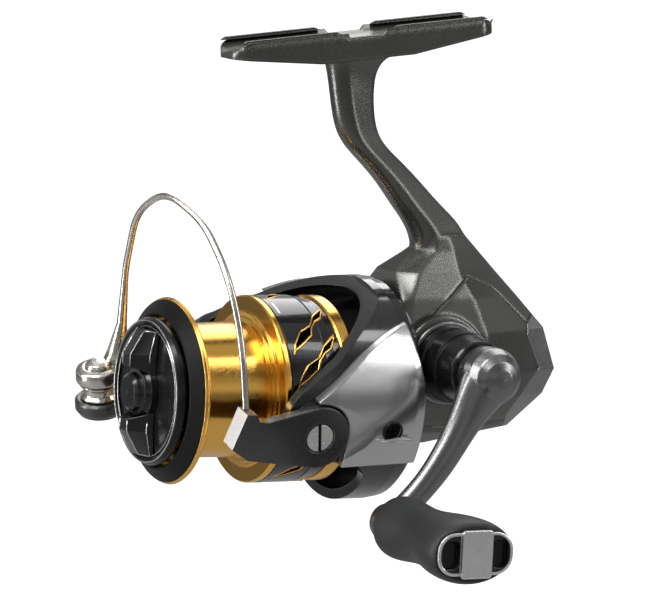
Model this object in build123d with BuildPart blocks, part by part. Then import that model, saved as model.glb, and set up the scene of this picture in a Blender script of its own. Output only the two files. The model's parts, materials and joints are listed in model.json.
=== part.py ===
from build123d import *
import os
from math import cos, pi, radians, sin

os.makedirs("parts", exist_ok=True)

# A small fixed-spool ("spinning") fishing reel. Millimetres.
#
# Row frame: origin on the floor of the foot's rod seat, +Z up into the rod,
# -Y forward along the rod, +X to the side that carries the handle.
# Drive frame: origin where the handle's station meets the spool axis. The spool axis is its Y
# (forward is -Y), the handle turns about its X, and it is tipped so that the spool's
# front rises towards the rod.

# ---- driving dimensions -------------------------------------------------------------
TILT = 5.8               # spool axis against the foot, degrees
DRIVE_AFT = 11.8         # handle station behind the middle of the foot
DRIVE_DROP = 84.4        # spool axis below the rod seat at that station
ROTOR_TURN = 14.3        # how far the rotor has turned about the spool axis at rest
CRANK_TURN = -37.7       # crank direction at rest: 0 is straight down
GEAR_RISE = 7.6          # handle axis above the spool axis
CLEAR = 0.3              # gap between parts that move past each other
SLIP = 0.05              # radial running clearance of a shaft in its bearing
SNUG = 0.03              # gap between parts pressed or screwed together

# foot and stem
FOOT_LENGTH = 69.5
FOOT_WIDTH = 12.2
FOOT_RIM = 2.4           # rim of the trough above its floor
FOOT_DIP = 1.3           # the same at the low middle stretch
FOOT_TIP = 1.2           # thickness under the floor at the ends
FOOT_MIDDLE = 4.2        # thickness under the floor beside the stem
TROUGH_R = 9.0

# body, in the drive frame
BODY_FRONT = -10.2
PLATE_R = 22.0
WALL = 1.4
BOSS_R = 11.0
BOSS_X = 14.6
COVER_PLANE = 5.0

# drive train
GEAR_R = 9.6
GEAR_TEETH = 46
PINION_TIP = 3.4
PINION_TEETH = 9
IDLE_X = 5.2
IDLE_Z = -3.4
IDLE_TEETH = 8
WORM_Z = -6.8
WORM_R = 1.8
WORM_TEETH = 10
SHAFT_R = 2.0

# spool
LIP_Y = -66.1
LIP_R = 21.75
TRUNK_R = 15.7
FLANGE_Y = -45.7
SKIRT_R = 22.1
SKIRT_BORE = 20.6
SKIRT_END = -26.8

# rotor and bail
BOWL_R = 26.6
BOWL_BORE = 24.2
BOWL_LIP = -18.0
WEB_FRONT = -13.5
WEB_REAR = -12.1
DRUM_R = 18.5
PIVOT_Y = -39.8
PAD_X = 26.6             # outer face of the rotor arms at the pivots
ARM_X = 29.6             # outer face of the bail arms
PIVOT_DISC = 7.5
WIRE_R = 0.8

# crank and knob
HUB_X = 36.8
CRANK_LENGTH = 42.3
KNOB_IN = 42.2
KNOB_OUT = 79.5

# ---- frames and planes ----------------------------------------------------------------
DRIVE = Pos(0, DRIVE_AFT, -DRIVE_DROP) * Rot(-TILT, 0, 0)
ROTOR = DRIVE * Rot(0, ROTOR_TURN, 0)
BAIL = ROTOR * Pos(0, PIVOT_Y, 0)
HANDLE = DRIVE * Pos(0, 0, GEAR_RISE)
CRANK = HANDLE * Rot(CRANK_TURN, 0, 0)
KNOB = CRANK * Pos(0, 0, -CRANK_LENGTH) * Rot(-CRANK_TURN, 0, 0)
ROLLER = BAIL * Pos(-26.8, -30.8, -5.1) * Rot(13, 0, 0)
WORM = DRIVE * Pos(0, 0, WORM_Z)
IDLE = DRIVE * Pos(IDLE_X, 0, IDLE_Z)
GUIDE = DRIVE * Pos(3.4, 0, -4.4)
SPRING = ROTOR * Pos(-25.85, 0, 0)
STACK = ROLLER * Rot(-90, 0, 0)
CROSSWISE = Rot(0, 0, -90)


def side(x=0, at=DRIVE):
    """Plane facing the handle side: its x runs aft, its y runs up."""
    return Plane(at * Plane.YZ.offset(x).location)


def front(y=0, at=DRIVE):
    """Plane facing forward: its x runs to the handle side, its y runs up."""
    return Plane(at * Plane.XZ.offset(-y).location)


def level(z=0, at=DRIVE):
    """Plane facing up: its x runs to the handle side, its y runs aft."""
    return Plane(at * Plane.XY.offset(z).location)


def axis_y(at=DRIVE):
    return Axis(front(0, at).origin, -front(0, at).z_dir)


# ---- shapes used more than once -----------------------------------------------------
def outline(*points):
    """Closed face from straight edges, in the sketch being drawn."""
    Polygon(*points, align=None)


def lathe(*points, at=DRIVE, mode=Mode.ADD):
    """Turn a (station, radius) outline about the frame's Y axis."""
    with BuildSketch(side(0, at)) as profile:
        outline(*points)
    revolve(profile.sketch, axis=axis_y(at), mode=mode)


def tube(y0, y1, outer, inner=0.0, at=DRIVE, mode=Mode.ADD):
    """Straight tube or rod along the frame's Y axis, from station y0 aft to y1."""
    with BuildSketch(front(y1, at)) as profile:
        Circle(outer)
        if inner:
            Circle(inner, mode=Mode.SUBTRACT)
    extrude(profile.sketch, amount=y1 - y0, mode=mode)


def cross_tube(x0, x1, outer, inner=0.0, at=DRIVE, mode=Mode.ADD):
    """The same along the frame's X axis."""
    with BuildSketch(side(x0, at)) as profile:
        Circle(outer)
        if inner:
            Circle(inner, mode=Mode.SUBTRACT)
    extrude(profile.sketch, amount=x1 - x0, mode=mode)


def upright(z0, z1, outer, inner=0.0, at=DRIVE, mode=Mode.ADD):
    """The same along the frame's Z axis."""
    with BuildSketch(level(z0, at)) as profile:
        Circle(outer)
        if inner:
            Circle(inner, mode=Mode.SUBTRACT)
    extrude(profile.sketch, amount=z1 - z0, mode=mode)


def slab(x0, x1, *points, at=DRIVE, mode=Mode.ADD):
    """Side-view outline of straight edges, given thickness from x0 to x1."""
    with BuildSketch(side(x0, at)) as profile:
        outline(*points)
    extrude(profile.sketch, amount=x1 - x0, mode=mode)


def gear_face(teeth, root, tip):
    """Straight-toothed wheel outline."""
    points = []
    for tooth in range(teeth):
        for part, radius in ((0.0, root), (0.3, root), (0.45, tip), (0.85, tip)):
            angle = 2 * pi * (tooth + part) / teeth
            points.append((radius * cos(angle), radius * sin(angle)))
    outline(*points)


def spur(y0, y1, teeth, root, tip, at=DRIVE):
    with BuildSketch(front(y1, at)) as profile:
        gear_face(teeth, root, tip)
    extrude(profile.sketch, amount=y1 - y0)


# ---- body ------------------------------------------------------------------------------
# level sections of the gear housing: height, front, start and end of full width, rear,
# half-width at the front, the middle and the rear
BODY_SECTIONS = (
    (-13.0, -10.2, -8.0, 0.0, 5.0, 5.5, 6.0, 3.0),
    (-9.8, -10.2, -8.0, 10.0, 24.0, 10.0, 10.5, 3.6),
    (-2.0, -10.2, -8.0, 12.0, 32.8, 13.0, 12.6, 4.4),
    (4.0, -10.2, -8.0, 13.0, 35.7, 14.0, 13.2, 4.6),
    (14.0, -10.2, -8.0, 12.0, 32.2, 13.0, 12.8, 4.2),
    (22.0, -10.2, -8.0, 9.0, 24.4, 10.5, 11.4, 3.6),
    (28.0, -9.2, -5.0, 6.0, 18.4, 4.6, 8.6, 3.0),
    (33.0, -2.6, 0.6, 5.6, 13.6, 1.6, 6.2, 2.4),
    (36.5, -2.0, 1.0, 4.6, 10.2, 1.5, 5.2, 2.1),
)

# level sections of the stem: height, front, rear, half-width, half-width of the rear rib
STEM_SECTIONS = (
    (33.5, -2.5, 13.2, 5.6, 2.3),
    (38.5, -4.6, 8.8, 4.9, 2.0),
    (43.5, -8.6, 3.6, 4.4, 1.7),
    (48.5, -12.7, -1.7, 4.1, 1.6),
    (54.0, -18.2, -7.8, 3.9, 1.5),
    (60.0, -23.6, -13.7, 3.7, 1.4),
    (66.0, -25.7, -15.5, 3.6, 1.4),
    (72.0, -26.9, -15.8, 3.6, 1.4),
    (76.0, -27.8, -15.0, 3.8, 1.6),
    (79.5, -30.2, -9.4, 4.8, 3.2),
)


def housing_shape():
    """Outside of the gear housing, as facets between level sections."""
    sections = []
    for height, fore, start, end, rear, half_fore, half, half_rear in BODY_SECTIONS:
        with BuildSketch(level(height)) as section:
            outline(
                (half_fore, fore),
                (half, start),
                (half, end),
                (half_rear, rear),
                (-half_rear, rear),
                (-half, end),
                (-half, start),
                (-half_fore, fore),
            )
        sections.append(section.sketch)
    loft(sections, ruled=True)


def cavity_shape():
    """Gear chamber: the housing's own shape, drawn in by the wall."""
    sections = []
    lowest = BODY_SECTIONS[0][0]
    for height, fore, start, end, rear, half_fore, half, half_rear in BODY_SECTIONS[:6]:
        rise = 1.5 if height == lowest else 0.9 if height < -5 else 0.0
        with BuildSketch(level(height + rise)) as section:
            inner = half - WALL
            inner_rear = half_rear - WALL
            outline(
                (half_fore - WALL, fore + 0.1),
                (inner, start + 0.6),
                (inner, end - 0.4),
                (inner_rear, rear - 1.7 * WALL),
                (-inner_rear, rear - 1.7 * WALL),
                (-inner, end - 0.4),
                (-inner, start + 0.6),
                (WALL - half_fore, fore + 0.1),
            )
        sections.append(section.sketch)
    loft(sections, ruled=True, mode=Mode.SUBTRACT)


def cover_region(gap=0.0):
    """Side-view outline of the removable cover, shrunk by the seam gap."""
    return (
        (-6.0 + gap, 15.6 - gap),
        (8.0, 27.0 - gap),
        (16.5, 23.6 - gap),
        (26.6 - gap, 15.0 - gap),
        (26.4 - gap, 12.5),
        (30.4 - gap, 4.6),
        (24.0 - gap, -3.4),
        (22.5 - gap, -6.0),
        (22.5 - gap, -7.8 + gap),
        (-6.0 + gap, -8.4 + gap),
    )


GUARD_REGION = (
    (26.6, 15.0), (26.4, 12.5), (30.4, 4.6), (24.0, -3.4), (22.5, -6.0),
    (22.5, -16.0), (42.0, -16.0), (42.0, 19.0), (31.5, 19.0),
)
# screws that hold the cover, from the far side: station, height, depth of the head's seat
COVER_SCREWS = ((6.0, 20.8, 10.6), (14.5, 16.4, 9.8), (23.4, 6.8, 7.9))

with BuildPart() as body_frame:
    # foot: a tapered bar, its ends rounded in plan
    half_length = FOOT_LENGTH / 2
    with BuildSketch(Plane.YZ.offset(-FOOT_WIDTH / 2)):
        outline((-half_length, FOOT_RIM), (-half_length, -FOOT_TIP), (-12.5, -FOOT_MIDDLE),
                (12.0, -FOOT_MIDDLE), (half_length, -FOOT_TIP), (half_length, FOOT_RIM))
    extrude(amount=FOOT_WIDTH)
    fillet(body_frame.edges().filter_by(Axis.Z), radius=4.6)
    # the low middle stretch of the rim
    with BuildSketch(Plane.YZ.offset(-FOOT_WIDTH / 2)):
        outline((-5.9, FOOT_RIM + 1), (-5.0, FOOT_DIP), (3.8, FOOT_DIP), (5.6, FOOT_RIM + 1))
    extrude(amount=FOOT_WIDTH, mode=Mode.SUBTRACT)
    # trough that seats on the rod, with a flat strip along its floor
    with BuildSketch(Plane.XZ.offset(-half_length)):
        with Locations((0, TROUGH_R)):
            Circle(TROUGH_R)
        with Locations((0, 0.2)):
            Rectangle(3.0, 0.4)
    extrude(amount=FOOT_LENGTH, mode=Mode.SUBTRACT)
    # stem: round nose, thin rear rib
    for height, fore, rear, half, rib in STEM_SECTIONS:
        with BuildSketch(level(height)):
            with BuildLine():
                ThreePointArc((half, fore + half), (0, fore), (-half, fore + half))
                Polyline((-half, fore + half), (-rib, rear), (rib, rear), (half, fore + half))
            make_face()
    loft()
    housing_shape()
    # gear chamber
    cavity_shape()
    # hub for the front pinion bearing
    tube(BODY_FRONT - 4.6, BODY_FRONT - 1.6, 8.0)
    tube(BODY_FRONT - 1.6, BODY_FRONT + 0.4, PLATE_R)
    tube(BODY_FRONT - 5, BODY_FRONT - 1.6, 5.5 + SNUG, mode=Mode.SUBTRACT)
    tube(BODY_FRONT - 2, BODY_FRONT + 1, 3.7, mode=Mode.SUBTRACT)
    # far-side bearing seat and cap thread for the handle's shaft
    cross_tube(-13.4, -9.4, 7.4, at=HANDLE)
    cross_tube(-11.9, -9, 5.0 + SNUG, at=HANDLE, mode=Mode.SUBTRACT)
    cross_tube(-14, -11.5, 3.4, at=HANDLE, mode=Mode.SUBTRACT)
    # bridge behind the pinion: rear pinion bearing, worm bush and slider guide
    slab(-3.55, 5.2, (-1.9, -11.8), (0.3, -11.8), (0.3, 4.4), (-1.9, 4.4))
    tube(-2, 0.4, 3.1 + SNUG, mode=Mode.SUBTRACT)
    tube(-2, 0.4, 2.4 + SNUG, at=WORM, mode=Mode.SUBTRACT)
    # rear bridge, standing on the floor of the chamber
    slab(-3.4, 4.7, (19.2, -9.9), (21.0, -9.9), (21.0, -2.6), (19.2, -2.6))
    tube(19, 22, 2.4 + SNUG, at=WORM, mode=Mode.SUBTRACT)
    tube(-2, 22, 0.8 + SNUG, at=GUIDE, mode=Mode.SUBTRACT)
    # idle gear's axle hole, and the posts for the cover's screws
    tube(-11.3, -9, 0.9 + SNUG, at=IDLE, mode=Mode.SUBTRACT)
    for aft, up, seat in COVER_SCREWS:
        spot = DRIVE * Pos(0, aft, up)
        cross_tube(0.2 - seat, COVER_PLANE, 2.6, at=spot)
        cross_tube(-20, -seat, 2.0, at=spot, mode=Mode.SUBTRACT)
        cross_tube(-20, 8, 0.9 + SNUG, at=spot, mode=Mode.SUBTRACT)
    # opening for the cover, and seat of the rear guard
    slab(COVER_PLANE - SNUG, 20, *cover_region(), mode=Mode.SUBTRACT)
    cross_tube(COVER_PLANE, 20, BOSS_R + SNUG, at=HANDLE, mode=Mode.SUBTRACT)
    slab(-20, 20, *GUARD_REGION, mode=Mode.SUBTRACT)
body_frame.part.label = "body_frame"
export_step(body_frame.part, "parts/body_frame.step")


with BuildPart() as side_cover:
    housing_shape()
    cavity_shape()
    slab(COVER_PLANE, 20, *cover_region(SNUG), mode=Mode.INTERSECT)
    # boss round the handle shaft, with its bearing seat
    cross_tube(9.0, BOSS_X, BOSS_R, at=HANDLE)
    cross_tube(8.0, 12.2, 5.0 + SNUG, at=HANDLE, mode=Mode.SUBTRACT)
    cross_tube(12.0, 16, 4.2, at=HANDLE, mode=Mode.SUBTRACT)
    slab(0, 20, (-14, -20), (-9.7, -20), (-9.7, 40), (-14, 40), mode=Mode.SUBTRACT)
    # posts that take the screws
    for aft, up, seat in COVER_SCREWS:
        spot = DRIVE * Pos(0, aft, up)
        cross_tube(COVER_PLANE, seat - 0.2, 1.9, at=spot)
        cross_tube(COVER_PLANE - 1, seat - 1.2, 0.9 + SNUG, at=spot, mode=Mode.SUBTRACT)
side_cover.part.label = "side_cover"
export_step(side_cover.part, "parts/side_cover.step")

with BuildPart() as rear_guard:
    housing_shape()
    cavity_shape()
    slab(-20, 20, *GUARD_REGION, mode=Mode.INTERSECT)
rear_guard.part.label = "rear_guard"
export_step(rear_guard.part, "parts/rear_guard.step")

with BuildPart() as boss_collar:
    cross_tube(BOSS_X, BOSS_X + 1.6, 9.9, 5.0, at=HANDLE)
    fillet(boss_collar.edges().sort_by(Axis.X)[-2:], radius=0.5)
boss_collar.part.label = "boss_collar"
export_step(boss_collar.part, "parts/boss_collar.step")

with BuildPart() as screw_cap:
    cross_tube(-15.0, -13.4, 6.2, at=HANDLE)
    cross_tube(-13.4, -12.2, 3.4 - SNUG, at=HANDLE)
    fillet(screw_cap.edges().sort_by(Axis.X)[:1], radius=0.6)
    with BuildSketch(side(-15.0, HANDLE)):
        Rectangle(7.4, 1.2)
    extrude(amount=0.6, mode=Mode.SUBTRACT)
screw_cap.part.label = "screw_cap"
export_step(screw_cap.part, "parts/screw_cap.step")

with BuildPart() as cover_screws:
    for aft, up, seat in COVER_SCREWS:
        spot = DRIVE * Pos(0, aft, up)
        cross_tube(-seat, seat - 1.4, 0.9, at=spot)
        cross_tube(-seat - 1.2, -seat, 1.9, at=spot)
        with BuildSketch(side(-seat - 1.2, spot)):
            Rectangle(2.4, 0.5)
            Rectangle(0.5, 2.4)
        extrude(amount=0.7, mode=Mode.SUBTRACT)
cover_screws.part.label = "cover_screws"
export_step(cover_screws.part, "parts/cover_screws.step")

# ---- drive gear and its bearings ------------------------------------------------------
with BuildPart() as drive_gear:
    cross_tube(-11.0, 12.6, 2.8, at=HANDLE)
    with BuildSketch(side(-7.0, HANDLE)):
        Circle(GEAR_R)
        with PolarLocations(5.6, 6):
            Circle(1.5, mode=Mode.SUBTRACT)
    extrude(amount=2.2)
    # crown of teeth facing the pinion
    with BuildSketch(side(-4.8, HANDLE)):
        gear_face(GEAR_TEETH, 8.6, GEAR_R)
        Circle(7.8, mode=Mode.SUBTRACT)
    extrude(amount=1.1)
    cross_tube(-4.8, -3.8, 4.4, at=HANDLE)
    cross_tube(-12, 13, 1.5, at=HANDLE, mode=Mode.SUBTRACT)
drive_gear.part.label = "drive_gear"
export_step(drive_gear.part, "parts/drive_gear.step")


def bearing(y0, y1, outer, inner, at):
    """Shielded ball bearing as two rings and a recessed shield, along the frame's Y."""
    shield = 0.25
    lathe((y0, inner), (y0, inner + 0.7), (y0 + shield, inner + 0.7),
          (y0 + shield, outer - 0.7), (y0, outer - 0.7), (y0, outer),
          (y1, outer), (y1, outer - 0.7), (y1 - shield, outer - 0.7),
          (y1 - shield, inner + 0.7), (y1, inner + 0.7), (y1, inner), at=at)


with BuildPart() as drive_bearings:
    bearing(9.4, 12.0 - SNUG, 5.0, 2.8 + SLIP, HANDLE * CROSSWISE)
    bearing(-11.8, -9.3, 5.0, 2.8 + SLIP, HANDLE * CROSSWISE)
drive_bearings.part.label = "drive_bearings"
export_step(drive_bearings.part, "parts/drive_bearings.step")

# ---- pinion, anti-reverse clutch ----------------------------------------------------
PINION_NOSE = -28.4
CLUTCH_FRONT = -21.4
CLUTCH_REAR = BODY_FRONT - 1.6
with BuildPart() as pinion_gear:
    tube(PINION_NOSE, -2.2, 2.9, SHAFT_R + SLIP)
    tube(-2.2, 0.6, 2.5, SHAFT_R + SLIP)
    tube(-23.0, -9.8, 3.0, SHAFT_R + SLIP)
    spur(-9.8, -2.2, PINION_TEETH, 2.85, PINION_TIP)
    tube(-10, -2, SHAFT_R + SLIP, mode=Mode.SUBTRACT)
pinion_gear.part.label = "pinion_gear"
export_step(pinion_gear.part, "parts/pinion_gear.step")

with BuildPart() as pinion_front_bearing:
    bearing(-14.7, -11.9, 5.5, 3.0 + SLIP, DRIVE)
pinion_front_bearing.part.label = "pinion_front_bearing"
export_step(pinion_front_bearing.part, "parts/pinion_front_bearing.step")

with BuildPart() as pinion_rear_bearing:
    tube(-1.8, 0.2, 3.1, 2.5 + SLIP)
pinion_rear_bearing.part.label = "pinion_rear_bearing"
export_step(pinion_rear_bearing.part, "parts/pinion_rear_bearing.step")

with BuildPart() as clutch_housing:
    lathe((CLUTCH_REAR, 8.0 + SNUG), (CLUTCH_REAR, 13.0), (-13.4, 13.0), (-13.4, 11.2),
          (CLUTCH_FRONT, 11.2), (CLUTCH_FRONT, 5.2), (-20.6, 5.2), (-20.6, 7.2),
          (-15.0, 7.2), (-15.0, 8.0 + SNUG))
    with BuildSketch(front(CLUTCH_REAR)):
        with PolarLocations(12.1, 3):
            Circle(0.75)
    extrude(amount=3, mode=Mode.SUBTRACT)
clutch_housing.part.label = "clutch_housing"
export_step(clutch_housing.part, "parts/clutch_housing.step")

with BuildPart() as clutch_rollers:
    with BuildSketch(front(-15.4)):
        with PolarLocations(5.9, 10):
            Circle(1.1)
    extrude(amount=5.0)
clutch_rollers.part.label = "clutch_rollers"
export_step(clutch_rollers.part, "parts/clutch_rollers.step")

with BuildPart() as clutch_sleeve:
    tube(-21.6, -15.2, 4.6, 3.0 + SNUG)
clutch_sleeve.part.label = "clutch_sleeve"
export_step(clutch_sleeve.part, "parts/clutch_sleeve.step")

with BuildPart() as clutch_screws:
    with BuildSketch(front(CLUTCH_REAR)):
        with PolarLocations(12.1, 3):
            Circle(0.7)
    extrude(amount=2.0)
    with BuildSketch(front(-13.4)):
        with PolarLocations(12.1, 3):
            Circle(0.9)
    extrude(amount=0.7)
clutch_screws.part.label = "clutch_screws"
export_step(clutch_screws.part, "parts/clutch_screws.step")

with BuildPart() as friction_ring:
    lathe((-11.8, 20.2), (-12.0, 20.2), (-12.0, 21.4), (-11.8, 21.4))
friction_ring.part.label = "friction_ring"
export_step(friction_ring.part, "parts/friction_ring.step")

# ---- level-wind ------------------------------------------------------------------------
with BuildPart() as idle_gear:
    spur(-8.5, -6.9, IDLE_TEETH, 2.2, 2.7, at=IDLE)
    tube(-8.8, -5.8, 1.8, at=IDLE)
    tube(-9, -5, 0.9 + SLIP, at=IDLE, mode=Mode.SUBTRACT)
idle_gear.part.label = "idle_gear"
export_step(idle_gear.part, "parts/idle_gear.step")

with BuildPart() as idle_axle:
    tube(-11.2, -5.4, 0.9, at=IDLE)
idle_axle.part.label = "idle_axle"
export_step(idle_axle.part, "parts/idle_axle.step")

with BuildPart() as worm_gear:
    spur(-8.5, -6.9, WORM_TEETH, 2.8, 3.3, at=WORM)
    tube(-9, -6, 1.2 + SNUG, at=WORM, mode=Mode.SUBTRACT)
worm_gear.part.label = "worm_gear"
export_step(worm_gear.part, "parts/worm_gear.step")

WORM_LAND = 1.6
with BuildPart() as worm_shaft:
    tube(-9.4, 20.8, 1.2, at=WORM)
    tube(0.4, 19.0, WORM_R, at=WORM)
    for land in range(11):
        start = 1.0 + land * WORM_LAND
        tube(start, start + 0.7, WORM_R + 0.1, WORM_R - 0.5, at=WORM, mode=Mode.SUBTRACT)
worm_shaft.part.label = "worm_shaft"
export_step(worm_shaft.part, "parts/worm_shaft.step")

with BuildPart() as worm_bushes:
    tube(-1.8, 0.2, 2.4, 1.2 + SLIP, at=WORM)
    tube(19.3, 20.9, 2.4, 1.2 + SLIP, at=WORM)
worm_bushes.part.label = "worm_bushes"
export_step(worm_bushes.part, "parts/worm_bushes.step")

with BuildPart() as guide_rod:
    tube(-1.8, 20.8, 0.8, at=GUIDE)
guide_rod.part.label = "guide_rod"
export_step(guide_rod.part, "parts/guide_rod.step")

SLIDER_FRONT = 0.8
SLIDER_REAR = 5.8
with BuildPart() as slider:
    with BuildSketch(front(SLIDER_REAR)):
        with Locations((0.7, -2.55)):
            Rectangle(7.6, 11.0)
    extrude(amount=SLIDER_REAR - SLIDER_FRONT)
    tube(0, 9, SHAFT_R + SNUG, mode=Mode.SUBTRACT)
    tube(0, 9, WORM_R + SLIP, at=WORM, mode=Mode.SUBTRACT)
    tube(0, 9, 0.8 + SLIP, at=GUIDE, mode=Mode.SUBTRACT)
slider.part.label = "slider"
export_step(slider.part, "parts/slider.step")

with BuildPart() as main_shaft:
    tube(-75.0, SLIDER_REAR + 0.6, SHAFT_R)
main_shaft.part.label = "main_shaft"
export_step(main_shaft.part, "parts/main_shaft.step")

# ---- rotor ------------------------------------------------------------------------------
# side-view edge of a rotor arm, from the bowl's lip round the nose and back
ARM_NOSE = -48.0


def arm_edge(grow=0.0):
    """Side-view region, about the rotor's mid-plane, that the arms and bowl fill."""
    lip = BOWL_LIP - grow
    with BuildSketch() as region:
        with BuildLine():
            Line((-8, 30), (lip, 30))
            Line((lip, 30), (lip, 25.6 + grow))
            ThreePointArc((lip, 25.6 + grow), (-24.6, 21.9 + grow), (-33.6, 15.6 + grow))
            Line((-33.6, 15.6 + grow), (-44.0, 9.2 + grow))
            ThreePointArc((-44.0, 9.2 + grow), (ARM_NOSE - grow, 0.8), (-42.4, -7.6 - grow))
            Line((-42.4, -7.6 - grow), (-30.0, -8.4 - grow))
            ThreePointArc((-30.0, -8.4 - grow), (-24.6, -10.6 - grow), (-22.4, -16.0 - grow))
            Line((-22.4, -16.0 - grow), (-22.4 - grow, -30))
            Line((-22.4 - grow, -30), (-8, -30))
            Line((-8, -30), (-8, 30))
        make_face()
    return region.sketch


with BuildPart() as rotor:
    # bowl and arms as one turned shell
    lathe((-11.2, BOWL_BORE), (-11.2, 24.9), (-12.6, 26.2), (-15.5, BOWL_R), (-50, BOWL_R),
          (-50, BOWL_BORE), at=ROTOR)
    with BuildSketch(side(-40, ROTOR)):
        add(arm_edge())
    extrude(amount=80, mode=Mode.INTERSECT)
    # rear web, drum and front wall
    lathe((WEB_REAR, DRUM_R - 1.6), (WEB_REAR, BOWL_BORE + 0.6), (WEB_FRONT, BOWL_BORE + 0.6),
          (WEB_FRONT, DRUM_R), (-25.4, DRUM_R), (-26.2, DRUM_R - 0.8), (-26.2, 3.0 + SNUG),
          (-23.6, 3.0 + SNUG), (-23.6, DRUM_R - 1.6), at=ROTOR)
    # pads that carry the bail pivots, on both arms
    cross_tube(23.4, PAD_X, PIVOT_DISC, at=BAIL)
    cross_tube(-PAD_X, -23.4, PIVOT_DISC, at=BAIL)
    cross_tube(20, 30, 1.25, at=BAIL, mode=Mode.SUBTRACT)
    cross_tube(-30, -20, 1.25, at=BAIL, mode=Mode.SUBTRACT)
    # groove for the bail spring, and two holes through the front wall
    tube(-31.2, -20.8, 1.0, at=SPRING, mode=Mode.SUBTRACT)
    with BuildSketch(front(-26.4, ROTOR)):
        with PolarLocations(11.5, 2, start_angle=90):
            Circle(2.6)
    extrude(amount=-3, mode=Mode.SUBTRACT)
rotor.part.label = "rotor"
export_step(rotor.part, "parts/rotor.step")

COVER_SKIN = BOWL_R + 0.25


def arm_cover(sign, recess):
    """Outer shell of a rotor arm, faceted, with a round recess for the bail arm."""
    lathe((-11.6, COVER_SKIN), (-11.6, 27.2), (-14.0, 27.6), (-36.0, 29.6), (-46.0, 29.6),
          (-46.0, COVER_SKIN), at=ROTOR)
    with BuildSketch(side(0, ROTOR)) as region:
        with BuildLine():
            Line((-11.6, 11.0), (-14.4, 22.6))
            ThreePointArc((-14.4, 22.6), (-24.4, 19.2), (-33.6, 13.4))
            Line((-33.6, 13.4), (-43.0, 7.0))
            Line((-43.0, 7.0), (-43.0, -8.2))
            Line((-43.0, -8.2), (-11.6, -8.6))
            Line((-11.6, -8.6), (-11.6, 11.0))
        make_face()
    extrude(region.sketch, amount=sign * 40, mode=Mode.INTERSECT)
    cross_tube(-40, 40, recess, at=BAIL, mode=Mode.SUBTRACT)
    # way for the bail arm when it swings down
    slab(-40, 40, (-20, -12), (7.9, -12), (7.9, 0), (-20, 0), at=BAIL, mode=Mode.SUBTRACT)
    slab(-40, 40, (-52, -10), (PIVOT_Y - 1, -10), (PIVOT_Y - 1, 10), (-52, 10), at=ROTOR,
         mode=Mode.SUBTRACT)
    # flat facet along the middle
    slab(sign * 28.6, sign * 36, (-60, -30), (0, -30), (0, 30), (-60, 30), at=ROTOR,
         mode=Mode.SUBTRACT)


COVER_SCREW = ROTOR * Pos(0, -20.2, 0.6)
with BuildPart() as near_arm_cover:
    arm_cover(1, PIVOT_DISC + CLEAR + 0.2)
    cross_tube(20, 40, 0.95, at=COVER_SCREW, mode=Mode.SUBTRACT)
    cross_tube(27.2, 40, 2.2, at=COVER_SCREW, mode=Mode.SUBTRACT)
near_arm_cover.part.label = "near_arm_cover"
export_step(near_arm_cover.part, "parts/near_arm_cover.step")

with BuildPart() as far_arm_cover:
    arm_cover(-1, 17.0)
    cross_tube(-40, -20, 0.95, at=COVER_SCREW, mode=Mode.SUBTRACT)
    cross_tube(-40, -27.2, 2.2, at=COVER_SCREW, mode=Mode.SUBTRACT)
far_arm_cover.part.label = "far_arm_cover"
export_step(far_arm_cover.part, "parts/far_arm_cover.step")

with BuildPart() as arm_cover_screws:
    for sign in (1, -1):
        cross_tube(*sorted((sign * BOWL_R + sign * SNUG, sign * 27.2)), 0.9, at=COVER_SCREW)
        cross_tube(*sorted((sign * 27.2, sign * 28.0)), 2.1, at=COVER_SCREW)
        with BuildSketch(side(sign * 28.0, COVER_SCREW)):
            Rectangle(2.6, 0.6)
            Rectangle(0.6, 2.6)
        extrude(amount=-sign * 0.5, mode=Mode.SUBTRACT)
arm_cover_screws.part.label = "arm_cover_screws"
export_step(arm_cover_screws.part, "parts/arm_cover_screws.step")

with BuildPart() as rotor_nut:
    with BuildSketch(front(-26.2 - SNUG, ROTOR)):
        RegularPolygon(5.2, 6)
        Circle(2.9 + SNUG, mode=Mode.SUBTRACT)
    extrude(amount=2.2)
rotor_nut.part.label = "rotor_nut"
export_step(rotor_nut.part, "parts/rotor_nut.step")

with BuildPart() as nut_retainer:
    with BuildSketch(front(-26.2 - SNUG, ROTOR)):
        Circle(8.4)
        RegularPolygon(5.3, 6, mode=Mode.SUBTRACT)
        with Locations((7.4, 0)):
            Circle(0.8, mode=Mode.SUBTRACT)
    extrude(amount=0.8)
nut_retainer.part.label = "nut_retainer"
export_step(nut_retainer.part, "parts/nut_retainer.step")

with BuildPart() as retainer_screw:
    tube(-27.9, -27.1, 1.3, at=ROTOR * Pos(7.4, 0, 0))
    tube(-27.1, -26.25, 0.75, at=ROTOR * Pos(7.4, 0, 0))
retainer_screw.part.label = "retainer_screw"
export_step(retainer_screw.part, "parts/retainer_screw.step")

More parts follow.
